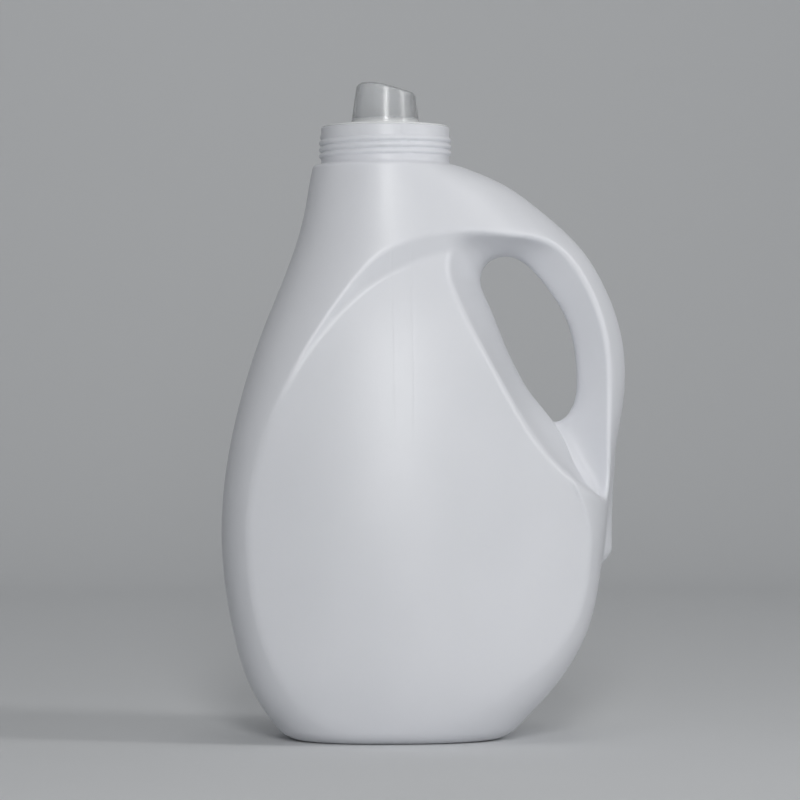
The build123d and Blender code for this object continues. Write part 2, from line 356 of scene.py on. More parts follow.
# Finger recess on the parting plane, at the crest's depth and at the flank's depth.
RECESS_OUTLINE = (
    ((-0.45, 1.00), (-0.50, 1.10), (-0.62, 1.25)),
    ((-0.87, 0.90), (-1.10, 0.96), (-1.66, 1.05)),
    ((-1.00, 0.70), (-1.18, 0.74), (-1.67, 0.83)),
    ((-0.87, 0.47), (-1.02, 0.47), (-1.42, 0.47)),
    ((-0.50, -0.06), (-0.63, -0.06), (-0.95, -0.06)),
    ((-0.02, -0.61), (-0.10, -0.64), (-0.38, -0.66)),
    ((0.26, -0.88), (0.66, -1.22), (0.30, -1.24)),
    ((0.42, -0.98), (1.08, -1.68), (0.92, -1.72)),
    ((0.62, -0.99), (1.27, -1.74), (1.40, -1.86)),
    ((0.88, -0.85), (1.47, -1.35), (1.85, -1.40)),
    ((1.00, -0.42), (1.60, -0.46), (2.15, -0.46)),
    ((0.80, 0.22), (1.48, 0.30), (2.05, 0.40)),
    ((0.30, 0.69), (0.84, 0.96), (1.40, 1.20)),
)


@dataclass
class NeckFinish:
    """Neck above the shoulder: a tube with a rounded rim and a fine right-handed thread."""

    foot: float = 257.4
    height: float = 16.9
    radius: float = 28.8
    wall: float = 1.8
    rim_round: float = 0.5
    thread_pitch: float = 2.87
    thread_start: float = 260.1
    thread_turns: float = 3.55
    thread_height: float = 0.95
    thread_width: float = 2.3
    thread_fullness: float = 0.7
    thread_fade: float = 0.12
    row_step: float = 0.26
    around: int = 240
    lower_cut: float = 259.2
    bore_cut: float = 256.6

    @property
    def rim(self) -> float:
        """Level of the rim."""
        return self.foot + self.height

    @property
    def bore(self) -> float:
        """Radius inside the neck."""
        return self.radius - self.wall

    def profile(self) -> np.ndarray:
        """Radius and level from the foot up the outside, over the rim and down the bore."""
        outside = np.arange(self.lower_cut, self.rim - self.rim_round, self.row_step)
        outside = np.stack([np.full_like(outside, self.radius), outside], axis=1)
        turn = np.linspace(0, math.pi / 2, 5)
        outer = np.stack([np.cos(turn), np.sin(turn)], axis=1) * self.rim_round
        inner = np.stack([-np.sin(turn), np.cos(turn)], axis=1) * self.rim_round
        outer += (self.radius - self.rim_round, self.rim - self.rim_round)
        inner += (self.bore + self.rim_round, self.rim - self.rim_round)
        inside = np.linspace(self.rim - self.rim_round - 1, self.bore_cut, 6)
        inside = np.stack([np.full_like(inside, self.bore), inside], axis=1)
        return np.vstack([outside, outer, inner, inside])

    def surface(self) -> Surface:
        """Profile carried round the axis.

        The outside radius grows by the thread: with s the height above the thread's line at that
        angle, counted in its nearest turn, the ridge is its height times one less the square of s
        over half its width, raised to its fullness. It fades over a share of a turn at both ends.
        """
        profile = self.profile()
        turn = np.linspace(0, math.tau, self.around, endpoint=False)
        radius = np.repeat(profile[:, :1], self.around, axis=1)
        level = np.repeat(profile[:, 1:], self.around, axis=1)
        turns = (level - self.thread_start) / self.thread_pitch - turn / math.tau
        whole = np.clip(np.round(turns), 0, math.floor(self.thread_turns))
        along = whole + turn / math.tau
        away = np.abs(turns - whole) * self.thread_pitch / (self.thread_width / 2)
        ends = eased(along / self.thread_fade) * eased((self.thread_turns - along) / self.thread_fade)
        ridge = self.thread_height * np.clip(1 - away**2, 0, 1) ** self.thread_fullness * ends
        radius = np.where(np.isclose(radius, self.radius), radius + ridge, radius)
        points = np.stack([radius * np.cos(turn), radius * np.sin(turn), level], axis=2).reshape(-1, 3)
        triangles = corner_triangles(ring_quads(len(profile), self.around, closed=False).reshape(-1, 4))
        return Surface(points, triangles, point_normals(points, triangles))


@dataclass
class BottleBody:
    """Blow-moulded body and grip, given as the distance from any point to its outside.

    The envelope is a stack of superellipses. The label recesses and the finger recess are taken out
    of it and the lug is added, each edge rounded over its own reach. Lengths are in millimetres.
    """

    height: float = 257.4
    pour_reach: float = 73.1
    grip_reach: float = 108.7
    half_depth: float = 54.0
    wall: float = 1.4
    heel_round: float = 6.0
    push_up: float = 4.5
    push_up_slope: float = 2.0
    push_up_round: float = 2.0
    stand_ring: float = 8.0
    ring_round: float = 1.2
    label_radius: float = 170.0
    label_centre: float = 12.0
    step_slope: float = 1.3
    edge_cosine: float = 0.85
    hole: tuple[float, float] = (64.8, 179.4)
    hole_half: tuple[float, float] = (21.95, 37.25)
    crest_depth: float = 14.0
    flank_depth: float = 30.0
    lug_tip: tuple[float, float] = (96.4, 86.0)
    lug_length: float = 36.0
    lug_radius: float = 6.2
    lug_lean: float = 0.04
    ledge: float = 3.6
    ledge_round: float = 1.6
    neck_round: float = 1.8
    neck_overlap: float = 6.0
    bore_round: float = 0.8
    lug_round: float = 7.0
    step_round: float = 1.2
    crest_round: float = 2.6
    label_round: float = 1.0
    skin_cell: float = 1.0
    lining_cell: float = 3.6
    skin_triangles: int = 128_000
    box_low: tuple[float, float, float] = (-78.0, 0.0, -4.0)
    box_high: tuple[float, float, float] = (113.0, 58.0, 263.4)
    table_step: float = 0.25
    table_margin: float = 8.0
    depth_step: float = 0.5
    depth_reach: float = 60.0
    neck: NeckFinish = field(default_factory=NeckFinish)

    def __post_init__(self) -> None:
        """Works out the tables that the distance reads."""
        self._levels = np.arange(-self.table_margin, self.height + self.table_margin, self.table_step)
        share = self._levels / self.height
        top = self.neck.radius + self.ledge
        scale = (1, self.pour_reach, self.grip_reach, self.half_depth, self.label_centre, 1, 1, 1)
        rows = np.array([astuple(station) for station in BODY_STATIONS]) * scale
        rows = np.vstack([rows, (1.0, top, top, top, 0.0, 2.0, 2.0, 2.0)])
        self._body = smooth_curve(rows[:, 0], rows[:, 1:], np.clip(share, 0, 1))
        self._base = self._body[np.searchsorted(self._levels, 0.0)]
        label = np.array(LABEL_STATIONS)
        self._label = smooth_curve(label[:, 0], label[:, 1] * self.half_depth, share)[:, 0]
        self._label_slope = np.gradient(self._label, self._levels)
        step = np.array(STEP_LINE) * (self.grip_reach, self.height)
        self._step_x = np.arange(step[0, 0], step[-1, 0], self.table_step)
        self._step_z = smooth_curve(step[:, 0], step[:, 1], self._step_x)[:, 0]
        self._step_slope = np.gradient(self._step_z, self._step_x)
        edge = np.array(LABEL_EDGE) * self.hole_half + self.hole
        self._edge = edge[np.argsort(edge[:, 1])]
        self._recess_table()

    def _recess_table(self) -> None:
        """Reach of the finger recess from the hole's middle, by depth and by angle.

        The three outlines become seven planes, the last pair carried on straight. Each point moves
        through the planes on a cubic, a closed curve joins the points at each depth, and its reach
        is read at even angles.
        """
        planes = [np.array([row[k] for row in RECESS_OUTLINE]) * self.hole_half for k in range(3)]
        hole, crest, flank = planes
        mouth = 2 * flank - crest
        depth = np.array([0, self.crest_depth, self.flank_depth, 2 * self.flank_depth - self.crest_depth])
        knots = np.concatenate([-depth[:0:-1], depth])
        outlines = np.array([mouth, flank, crest, hole, crest, flank, mouth])
        self._depths = np.arange(0, self.depth_reach, self.depth_step)
        moved = smooth_curve(knots, outlines.reshape(len(knots), -1), self._depths)
        self._angles = np.linspace(-math.pi, math.pi, 1441)
        reach = []
        for outline in moved.reshape(len(self._depths), -1, 2):
            curve = closed_curve(outline, 1600)
            angle = np.arctan2(curve[:, 1], curve[:, 0])
            order = np.argsort(angle)
            far = np.hypot(curve[:, 0], curve[:, 1])[order]
            reach.append(np.interp(self._angles, angle[order], far, period=math.tau))
        self._reach = np.array(reach)
        self._reach_by_depth = np.gradient(self._reach, self._depths, axis=0)
        self._reach_by_angle = np.gradient(self._reach, self._angles, axis=1)

    def _superellipse(self, x: np.ndarray, y: np.ndarray, sizes: np.ndarray) -> np.ndarray:
        """Sum of the powers of x and y over their reaches, less one."""
        pour, grip, depth, crown, pour_bend, grip_bend, grip_edge = np.moveaxis(sizes, -1, 0)
        away = x - crown
        gripward = away >= 0
        reach = np.where(gripward, grip - crown, pour + crown)
        power = np.where(gripward, grip_bend, pour_bend)
        edge = np.where(gripward, grip_edge, pour_bend)
        return (np.abs(away) / reach) ** power + (np.abs(y) / depth) ** edge - 1

    def _sizes_at(self, z: np.ndarray) -> np.ndarray:
        """Rows of the body table at levels."""
        place = np.clip((z - self._levels[0]) / self.table_step, 0, len(self._levels) - 1.001)
        low = place.astype(int)
        part = (place - low)[..., None]
        return self._body[low] * (1 - part) + self._body[low + 1] * part

    def _envelope(self, x: np.ndarray, y: np.ndarray, z: np.ndarray) -> np.ndarray:
        """Distance to the full form: the superellipse sum over the length of its gradient."""
        delta = 0.5
        here = self._superellipse(x, y, self._sizes_at(z))
        by_x = (self._superellipse(x + delta, y, self._sizes_at(z)) - here) / delta
        by_y = (self._superellipse(x, np.abs(y) + delta, self._sizes_at(z)) - here) / delta
        by_z = (self._superellipse(x, y, self._sizes_at(z + delta)) - here) / delta
        return here / np.sqrt(by_x**2 + by_y**2 + by_z**2 + 1e-6)

    def _label_recess(self, x: np.ndarray, y: np.ndarray, z: np.ndarray) -> np.ndarray:
        """Distance to the label recess: above the label face, below the sloped step, short of the grip."""
        across = x - self.label_centre
        face = np.interp(z, self._levels, self._label) - across**2 / (2 * self.label_radius)
        slope = np.interp(z, self._levels, self._label_slope)
        above = np.abs(y) - face
        lift = above / np.sqrt(1 + slope**2 + (across / self.label_radius) ** 2)
        foot = np.interp(x, self._step_x, self._step_z)
        steep = np.interp(x, self._step_x, self._step_slope)
        past = (z - foot) / np.sqrt(1 + steep**2)
        step = (past - self.step_slope * above) / math.hypot(1, self.step_slope)
        edge = self.edge_cosine * (x - np.interp(z, self._edge[:, 1], self._edge[:, 0]))
        return rounded_max(rounded_max(-lift, step, self.step_round), edge, self.step_round)

    def _finger_recess(self, x: np.ndarray, y: np.ndarray, z: np.ndarray) -> np.ndarray:
        """Distance to the finger recess, positive inside it: table reach less the point's reach."""
        run, rise = x - self.hole[0], z - self.hole[1]
        far = np.maximum(np.hypot(run, rise), 1.0)
        column = (np.arctan2(rise, run) + math.pi) / (self._angles[1] - self._angles[0])
        row = np.clip(np.abs(y) / self.depth_step, 0, len(self._depths) - 1.001)
        column = np.clip(column, 0, len(self._angles) - 1.001)
        i, j = row.astype(int), column.astype(int)
        a, b = row - i, column - j

        def read(table: np.ndarray) -> np.ndarray:
            """Table value between its four neighbours."""
            low = table[i, j] * (1 - b) + table[i, j + 1] * b
            high = table[i + 1, j] * (1 - b) + table[i + 1, j + 1] * b
            return low * (1 - a) + high * a

        slope = np.sqrt(1 + read(self._reach_by_depth) ** 2 + (read(self._reach_by_angle) / far) ** 2)
        return (read(self._reach) - far) / slope

    def _lug(self, x: np.ndarray, y: np.ndarray, z: np.ndarray) -> np.ndarray:
        """Distance to the lug: a round bar up from a ball at the handle's tail."""
        up = np.clip(z - self.lug_tip[1], 0, self.lug_length)
        along_x, along_z = x - self.lug_tip[0] + self.lug_lean * up, z - self.lug_tip[1] - up
        return np.sqrt(along_x**2 + y**2 + along_z**2) - self.lug_radius

    def distance(self, x: np.ndarray, y: np.ndarray, z: np.ndarray) -> np.ndarray:
        """Distance from points to the bottle's outside, negative inside it.

        Args:
            x, y, z: coordinates in millimetres, of one shape.

        Returns:
            Distances in millimetres, true near the surface.
        """
        form = self._envelope(x, y, np.clip(z, 0, self.height))
        form = rounded_max(form, -self._label_recess(x, y, z), self.label_round)
        form = rounded_max(form, self._finger_recess(x, y, z), self.crest_round)
        form = rounded_min(form, self._lug(x, y, z), self.lug_round)
        form = rounded_max(form, -z, self.heel_round)
        form = rounded_max(form, z - self.height, self.ledge_round)
        form = rounded_max(form, -self._push_up(x, y, z), self.ring_round)
        return rounded_min(form, self._neck_stub(x, y, z, self.neck.radius), self.neck_round)

    def _push_up(self, x: np.ndarray, y: np.ndarray, z: np.ndarray) -> np.ndarray:
        """Distance to the hollow under the base: sloped sides inside the standing ring, and a flat top."""
        probe = 0.5
        base = self._superellipse(x, y, self._base)
        by_x = (self._superellipse(x + probe, y, self._base) - base) / probe
        by_y = (self._superellipse(x, np.abs(y) + probe, self._base) - base) / probe
        inward = base / np.sqrt(by_x**2 + by_y**2 + 1e-6) + self.stand_ring + self.push_up_slope * z
        sides = inward / math.hypot(1, self.push_up_slope)
        return rounded_max(sides, z - self.push_up, self.push_up_round)

    def _neck_stub(self, x: np.ndarray, y: np.ndarray, z: np.ndarray, radius: float) -> np.ndarray:
        """Distance to a short upright cylinder through the neck's foot."""
        return np.maximum(np.hypot(x, y) - radius, np.abs(z - self.neck.foot) - self.neck_overlap)

    def inner_distance(self, x: np.ndarray, y: np.ndarray, z: np.ndarray) -> np.ndarray:
        """Distance to the cavity: the outside drawn in by the wall, with the neck's bore."""
        drawn_in = self.distance(x, y, z) + self.wall
        drawn_in = np.maximum(drawn_in, z - self.height + self.wall)
        return rounded_min(drawn_in, self._neck_stub(x, y, z, self.neck.bore), self.bore_round)

    def field(self, wall: Wall, points: np.ndarray) -> np.ndarray:
        """Distance of rows of points to the face of the shell that is asked for."""
        measure = self.distance if wall is Wall.OUTSIDE else self.inner_distance
        return measure(points[:, 0], points[:, 1], points[:, 2])

    def slope(self, wall: Wall, points: np.ndarray) -> np.ndarray:
        """Gradient of the distance, by differences over a third of a millimetre each way."""
        reach = 0.33
        columns = []
        for axis in range(3):
            step = np.zeros(3)
            step[axis] = reach
            columns.append((self.field(wall, points + step) - self.field(wall, points - step)) / (2 * reach))
        return np.stack(columns, axis=1)

    def settled(self, wall: Wall, points: np.ndarray) -> np.ndarray:
        """Points moved down the gradient onto the surface, three times over, by short steps."""
        longest, least_square = 0.8, 0.05
        for _ in range(3):
            slope = self.slope(wall, points)
            value = self.field(wall, points)
            move = slope * (value / np.maximum((slope**2).sum(axis=1), least_square))[:, None]
            length = np.linalg.norm(move, axis=1, keepdims=True)
            points = points - move * np.minimum(1, longest / np.maximum(length, 1e-9))
        return points

    def netted(self, wall: Wall, cell: float) -> tuple[np.ndarray, np.ndarray]:
        """Quads over one face of the shell; the far half mirrors the near half."""
        low, high = np.array(self.box_low), np.array(self.box_high)
        count = np.ceil((high - low) / cell).astype(int) + 1
        axes = [low[k] + cell * np.arange(count[k]) for k in range(3)]
        near = []
        for x in axes[0]:
            y, z = np.meshgrid(axes[1], axes[2], indexing="ij")
            flat = np.stack([np.full(y.size, x), y.ravel(), z.ravel()], axis=1)
            near.append(self.field(wall, flat).reshape(y.shape))
        near = np.array(near)
        values = np.concatenate([near[:, :0:-1], near], axis=1)
        start = np.array([low[0], -cell * (count[1] - 1), low[2]])
        return net_surface(values, start, cell)

    def trimmed(
        self, points: np.ndarray, faces: np.ndarray, share: float, level: float
    ) -> tuple[np.ndarray, np.ndarray]:
        """Mesh with fewer triangles where it is flat, cut off level at the neck.

        Args:
            points, faces: the net.
            share: how many of the triangles to keep.
            level: where the net stops.

        Returns:
            Points and triangles, with one open loop at that level.
        """
        mesh = bpy.data.meshes.new("net")
        mesh.from_pydata(points.tolist(), [], faces.tolist())
        scratch = bpy.data.objects.new("net", mesh)
        bpy.context.collection.objects.link(scratch)
        if share < 1:
            fewer = scratch.modifiers.new("fewer", "DECIMATE")
            fewer.ratio = share
        graph = bpy.context.evaluated_depsgraph_get()
        kept = bpy.data.meshes.new_from_object(scratch.evaluated_get(graph))
        work = bmesh.new()
        work.from_mesh(kept)
        every = work.verts[:] + work.edges[:] + work.faces[:]
        bmesh.ops.bisect_plane(
            work, geom=every, plane_co=(0, 0, level), plane_no=(0, 0, 1), clear_outer=True, dist=1e-5
        )
        bmesh.ops.triangulate(work, faces=work.faces[:])
        work.to_mesh(kept)
        work.free()
        found = np.empty(len(kept.vertices) * 3)
        kept.vertices.foreach_get("co", found)
        corners = np.empty(len(kept.polygons) * 3, np.int32)
        kept.loops.foreach_get("vertex_index", corners)
        bpy.data.objects.remove(scratch)
        bpy.data.meshes.remove(mesh)
        bpy.data.meshes.remove(kept)
        return found.reshape(-1, 3), corners.reshape(-1, 3).astype(np.int64)

    def face_of_shell(self, wall: Wall) -> Surface:
        """One face of the shell up to the neck, settled on its surface, with true normals."""
        cell = self.skin_cell if wall is Wall.OUTSIDE else self.lining_cell
        level = self.neck.lower_cut if wall is Wall.OUTSIDE else self.neck.bore_cut
        radius = self.neck.radius if wall is Wall.OUTSIDE else self.neck.bore
        points, quads = self.netted(wall, cell)
        share = min(1.0, self.skin_triangles / (2 * len(quads))) if wall is Wall.OUTSIDE else 1.0
        LOG.info("%s net: %d triangles, keeping %.2f", wall.value, 2 * len(quads), share)
        points, triangles = self.trimmed(self.settled(wall, points), quads, share, level)
        loop = points[:, 2] > level - 1e-3
        points[~loop] = self.settled(wall, points[~loop])
        turn = np.arctan2(points[loop, 1], points[loop, 0])
        ring = radius * np.cos(turn), radius * np.sin(turn), np.full(turn.shape, level)
        points[loop] = np.stack(ring, axis=1)
        normals = self.slope(wall, points)
        normals /= np.maximum(np.linalg.norm(normals, axis=1, keepdims=True), 1e-9)
        return Surface(points, triangles, normals)

    def shell(self) -> Surface:
        """Outside, neck and inside joined into one closed wall."""
        skin = self.face_of_shell(Wall.OUTSIDE)
        neck = self.neck.surface()
        lining = self.face_of_shell(Wall.INSIDE).turned()
        points = np.vstack([skin.points, neck.points, lining.points])
        normals = np.vstack([skin.normals, neck.normals, lining.normals])
        first, second = len(skin.points), len(skin.points) + len(neck.points)
        turn = np.arctan2(points[:, 1], points[:, 0])
        skin_loop = np.nonzero(skin.points[:, 2] > self.neck.lower_cut - 1e-3)[0]
        neck_low = first + np.arange(self.neck.around)
        neck_bore = second - self.neck.around + np.arange(self.neck.around)
        lining_loop = second + np.nonzero(lining.points[:, 2] > self.neck.bore_cut - 1e-3)[0]
        outer = zipped(skin_loop, turn[skin_loop], neck_low, turn[neck_low])
        inner = zipped(lining_loop, turn[lining_loop], neck_bore, turn[neck_bore])[:, ::-1]
        faces = np.vstack([skin.faces, neck.faces + first, lining.faces + second, outer, inner])
        return Surface(points, faces, normals)


@dataclass
class PourSpout:
    """Drain-back spout: a flange on the neck's rim, a plug, a trough and a slanted tapered tube.

    Levels are above the seat on the neck's rim. The edges are small chamfers.
    """

    seat: float = 274.3
    plug_radius: float = 26.95
    plug_wall: float = 1.2
    plug_depth: float = 12.0
    flange_radius: float = 28.2
    flange: float = 0.8
    edge: float = 0.3
    lead_in: float = 0.4
    funnel: float = 0.7
    foot_radius: float = 15.6
    top_radius: float = 12.8
    height: float = 19.8
    drop: float = 4.4
    corner: float = 1.7
    tube_wall: float = 1.1
    fall: float = 1.5
    drain_width: float = 6.0
    drain_height: float = 8.0
    drain_sill: float = 0.6
    around: int = 192
    tube_rows: int = 44

    def lip(self, x: np.ndarray) -> np.ndarray:
        """Level of the tube's edge by x: a fall to the grip side, eased at its ends, and round corners."""
        start, end = -0.6 * self.top_radius, self.top_radius
        share = np.clip((x - start) / (end - start), 0, 1)
        fall = self.drop * (0.5 * share + 0.5 * eased(share))
        furthest, depth = 0.97, 0.8 * self.corner
        past = np.clip((np.abs(x) - self.top_radius + self.corner) / self.corner, 0, furthest)
        return self.height - fall - depth * (1 - np.sqrt(1 - past**2))

    def surface(self) -> Surface:
        """Profile carried round the axis, with the tube's rows stretched up to the slanted lip."""
        taper = (self.foot_radius - self.top_radius) / self.height
        floor = -self.plug_depth - self.fall
        rows = np.linspace(0, 1, self.tube_rows)
        turn = np.linspace(0, math.tau, self.around, endpoint=False)
        cos, sin = np.cos(turn), np.sin(turn)

        def ring(radius: float, level: float) -> np.ndarray:
            """Points of one circle."""
            return np.stack([radius * cos, radius * sin, np.full_like(cos, level)], axis=1)

        def tube(inset: float, bottom: float) -> np.ndarray:
            """Rows of circles from the foot to just under the lip, drawn in by the wall."""
            top = self.lip(self.top_radius * cos) - self.tube_wall / 3
            level = bottom + rows[:, None] * (top - bottom)
            radius = self.foot_radius - taper * level - inset
            return np.stack([radius * cos, radius * sin, level], axis=2)

        outside, inside = tube(0, floor), tube(self.tube_wall, floor - self.flange)
        crest = (outside[-1] + inside[-1]) / 2 + np.array([0, 0, self.tube_wall / 3])
        bore = self.plug_radius - self.plug_wall
        wall = [
            ring(bore, -self.plug_depth + self.edge),
            ring(bore, -0.6 * self.plug_depth),
            ring(bore, -self.flange / 4),
            ring(bore + self.edge / 2, 0.6 * self.flange),
            ring(bore + self.funnel, self.flange),
            ring(self.flange_radius - self.edge, self.flange),
            ring(self.flange_radius, self.flange - self.edge),
            ring(self.flange_radius, self.edge / 2),
            ring(self.flange_radius - self.edge / 2, 0.0),
            ring(self.plug_radius, 0.0),
            ring(self.plug_radius, -0.5 * self.plug_depth),
            ring(self.plug_radius, -self.plug_depth - 0.6 * self.flange),
            ring(self.plug_radius - self.lead_in, -self.plug_depth - self.flange),
        ]
        trough = [
            ring(0.5 * (bore + self.foot_radius), floor + self.fall / 2),
            ring(bore - self.edge, -self.plug_depth),
        ]
        loops = np.concatenate([inside, crest[None], outside[::-1], np.array(trough), np.array(wall)])
        points = loops.reshape(-1, 3) + np.array([0, 0, self.seat])
        cols = self.around
        quads = ring_quads(len(loops), cols, closed=True)[..., [0, 3, 2, 1]]
        keep = np.ones(quads.shape[:2], bool)
        half = int(round(self.drain_width / 2 / self.foot_radius / (math.tau / cols)))
        level = outside[:, 0, 2]
        sill = int(np.searchsorted(level, floor + self.drain_sill))
        head = int(np.searchsorted(level, floor + self.drain_sill + self.drain_height))
        slot = np.arange(-half, half) % cols
        outer_row = self.tube_rows + 1 + (self.tube_rows - 1 - np.arange(sill, head + 1))
        inner_row = np.arange(sill, head + 1)
        keep[np.ix_(inner_row[:-1], slot)] = False
        keep[np.ix_(outer_row[1:], slot)] = False
        edges = np.append(slot, half % cols)
        sides = []
        for turned, column, row in ((False, -1, 0), (True, 0, -1)):
            for one, two in (
                (outer_row * cols + edges[column], inner_row * cols + edges[column]),
                (outer_row[row] * cols + edges, inner_row[row] * cols + edges),
            ):
                quad = np.stack([one[:-1], one[1:], two[1:], two[:-1]], axis=1)
                sides.append(quad[:, ::-1] if turned else quad)
        faces = corner_triangles(np.vstack([quads[keep], *sides]))
        return Surface(points, faces, point_normals(points, faces))


def new_material(name: str) -> tuple[bpy.types.Material, bpy.types.ShaderNode]:
    """Empty node material and its Principled shader."""
    material = bpy.data.materials.new(name)
    material.use_nodes = True
    return material, material.node_tree.nodes["Principled BSDF"]


def set_inputs(node: bpy.types.Node, values: dict[str, object]) -> None:
    """Sets a node's inputs by their labels."""
    for label, value in values.items():
        node.inputs[label].default_value = value


@dataclass(frozen=True)
class MouldedSkin:
    """Shared surface of moulded plastic: orange peel, die lines along Z, a parting line and die marks.

    Scales are per metre of object coordinates, other lengths are in metres.
    """

    grain_scale: tuple[float, float, float] = (900, 900, 900)
    line_scale: tuple[float, float, float] = (260, 260, 2.5)
    mottle_scale: tuple[float, float, float] = (14, 14, 9)
    seam_half: float = 0.00035
    marks: tuple[float, float] = (-0.0004, 0.0086)
    mark_span: tuple[float, float] = (0.128, 0.232)
    mark_half: float = 0.0008
    mark_fade: float = 0.02

    def group(self) -> bpy.types.ShaderNodeTree:
        """Builds the node group.

        The height is grain noise times its strength, plus noise stretched a hundred times along Z for
        the die lines, plus a narrow ridge where Y is nearly zero, less a faint groove at each mark's X,
        which fades out at the ends of the marks' span. The mottle is slow noise for the colour.
        """
        group = bpy.data.node_groups.new("moulded_skin", "ShaderNodeTree")
        for label, default in (("Grain", 0.3), ("Lines", 0.3), ("Seam", 0.0), ("Marks", 0.0)):
            socket = group.interface.new_socket(label, in_out="INPUT", socket_type="NodeSocketFloat")
            socket.default_value = default
        group.interface.new_socket("Height", in_out="OUTPUT", socket_type="NodeSocketFloat")
        group.interface.new_socket("Mottle", in_out="OUTPUT", socket_type="NodeSocketFloat")
        nodes, links = group.nodes, group.links
        inputs, outputs = nodes.new("NodeGroupInput"), nodes.new("NodeGroupOutput")
        where = nodes.new("ShaderNodeTexCoord")
        split = nodes.new("ShaderNodeSeparateXYZ")
        links.new(where.outputs["Object"], split.inputs["Vector"])

        def noise(scale: tuple[float, float, float], detail: float) -> bpy.types.NodeSocket:
            """Noise on object coordinates, scaled along each axis."""
            mapping, texture = nodes.new("ShaderNodeMapping"), nodes.new("ShaderNodeTexNoise")
            set_inputs(mapping, {"Scale": scale})
            set_inputs(texture, {"Scale": 1.0, "Detail": detail})
            links.new(where.outputs["Object"], mapping.inputs["Vector"])
            links.new(mapping.outputs["Vector"], texture.inputs["Vector"])
            return texture.outputs["Fac"]

        def math_node(operation: str, *values: object) -> bpy.types.NodeSocket:
            """One arithmetic node on sockets or numbers."""
            node = nodes.new("ShaderNodeMath")
            node.operation = operation
            for place, value in enumerate(values):
                if isinstance(value, bpy.types.NodeSocket):
                    links.new(value, node.inputs[place])
                else:
                    node.inputs[place].default_value = value
            return node.outputs[0]

        def peak(value: bpy.types.NodeSocket, half: float) -> bpy.types.NodeSocket:
            """One where the value is zero, falling evenly to nothing at the half width on each side."""
            away = math_node("DIVIDE", math_node("ABSOLUTE", value), half)
            return math_node("MAXIMUM", math_node("SUBTRACT", 1.0, away), 0.0)

        grain = math_node("MULTIPLY", noise(self.grain_scale, 3.0), inputs.outputs["Grain"])
        lines = math_node("MULTIPLY", noise(self.line_scale, 2.0), inputs.outputs["Lines"])
        seam = math_node("MULTIPLY", peak(split.outputs["Y"], self.seam_half), inputs.outputs["Seam"])
        middle, half = sum(self.mark_span) / 2, (self.mark_span[1] - self.mark_span[0]) / 2
        off_middle = math_node("ABSOLUTE", math_node("SUBTRACT", split.outputs["Z"], middle))
        inside = math_node("DIVIDE", math_node("SUBTRACT", half, off_middle), self.mark_fade)
        inside = math_node("MINIMUM", math_node("MAXIMUM", inside, 0.0), 1.0)
        first, second = (
            peak(math_node("SUBTRACT", split.outputs["X"], place), self.mark_half) for place in self.marks
        )
        marks = math_node("MULTIPLY", math_node("ADD", first, second), inside)
        marks = math_node("MULTIPLY", marks, inputs.outputs["Marks"])
        ridges = math_node("ADD", math_node("ADD", grain, lines), seam)
        links.new(math_node("SUBTRACT", ridges, marks), outputs.inputs["Height"])
        links.new(noise(self.mottle_scale, 2.0), outputs.inputs["Mottle"])
        return group


def skinned(
    material: bpy.types.Material,
    shader: bpy.types.ShaderNode,
    skin: bpy.types.ShaderNodeTree,
    amounts: dict[str, float],
    strength: float,
) -> bpy.types.ShaderNode:
    """Bumps a material's shader by the shared moulded skin.

    Args:
        material, shader: what new_material returned.
        skin: the moulded skin's group.
        amounts: value for each of the group's inputs that is used.
        strength: the bump's strength, over a fifth of a millimetre.

    Returns:
        The group node, for its mottle.
    """
    nodes, links = material.node_tree.nodes, material.node_tree.links
    group = nodes.new("ShaderNodeGroup")
    group.node_tree = skin
    set_inputs(group, amounts)
    bump = nodes.new("ShaderNodeBump")
    set_inputs(bump, {"Strength": strength, "Distance": 0.2 * MM})
    links.new(group.outputs["Height"], bump.inputs["Height"])
    links.new(bump.outputs["Normal"], shader.inputs["Normal"])
    return group


@dataclass(frozen=True)
class NaturalPolyethylene:
    """Satin natural white polyethylene, a little translucent."""

    pale: tuple[float, float, float] = (0.79, 0.80, 0.84)
    dense: tuple[float, float, float] = (0.74, 0.753, 0.79)
    mottle_range: tuple[float, float] = (0.35, 0.65)
    roughness: float = 0.40
    refraction: float = 1.52
    scatter: float = 0.35
    depth: float = 0.004
    grain: float = 0.35
    lines: float = 0.55
    seam: float = 0.9
    marks: float = 0.9
    bump: float = 0.25

    def material(self, skin: bpy.types.ShaderNodeTree) -> bpy.types.Material:
        """Builds the node material over the shared moulded skin."""
        material, shader = new_material("natural_polyethylene")
        nodes, links = material.node_tree.nodes, material.node_tree.links
        amounts = {"Grain": self.grain, "Lines": self.lines, "Seam": self.seam, "Marks": self.marks}
        group = skinned(material, shader, skin, amounts, self.bump)
        ramp = nodes.new("ShaderNodeValToRGB")
        for stop, place, colour in zip(ramp.color_ramp.elements, self.mottle_range, (self.dense, self.pale)):
            stop.position = place
            stop.color = (*colour, 1)
        links.new(group.outputs["Mottle"], ramp.inputs["Fac"])
        links.new(ramp.outputs["Color"], shader.inputs["Base Color"])
        set_inputs(shader, {"Roughness": self.roughness, "IOR": self.refraction})
        set_inputs(shader, {"Subsurface Weight": self.scatter, "Subsurface Scale": self.depth})
        set_inputs(shader, {"Subsurface Radius": (1.0, 1.0, 1.0)})
        return material


